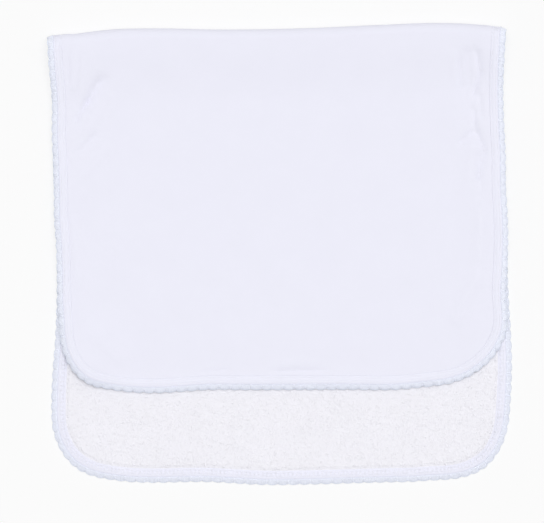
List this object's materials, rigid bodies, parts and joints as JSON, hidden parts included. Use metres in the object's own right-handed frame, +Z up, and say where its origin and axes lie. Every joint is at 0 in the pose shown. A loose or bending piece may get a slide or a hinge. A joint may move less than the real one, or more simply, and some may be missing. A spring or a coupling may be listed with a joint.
{
  "type": "burp cloth",
  "caption": "Baby's burp cloth with a smooth jersey face, terry back, bound rounded corners and scalloped picot edging, folded once across.",
  "frame": {"origin": "centre of the bounding box's underside, on the surface that the cloth lies on", "axes": "+Z up off the surface, +Y towards the fold, +X across the cloth to the right seen from above with the fold at the far side"},
  "size_m": [0.2765, 0.2747, 0.0145],
  "materials": {
    "jersey": "smooth fine knit, matt",
    "terry": "looped pile, matt",
    "binding": "smooth fine knit, matt",
    "picot": "soft twisted yarn, matt"
  },
  "bodies": {
    "root": {"face_panel": "jersey", "terry_panel": "terry", "binding": "binding", "picot_edging": "picot"}
  },
  "joints": []
}
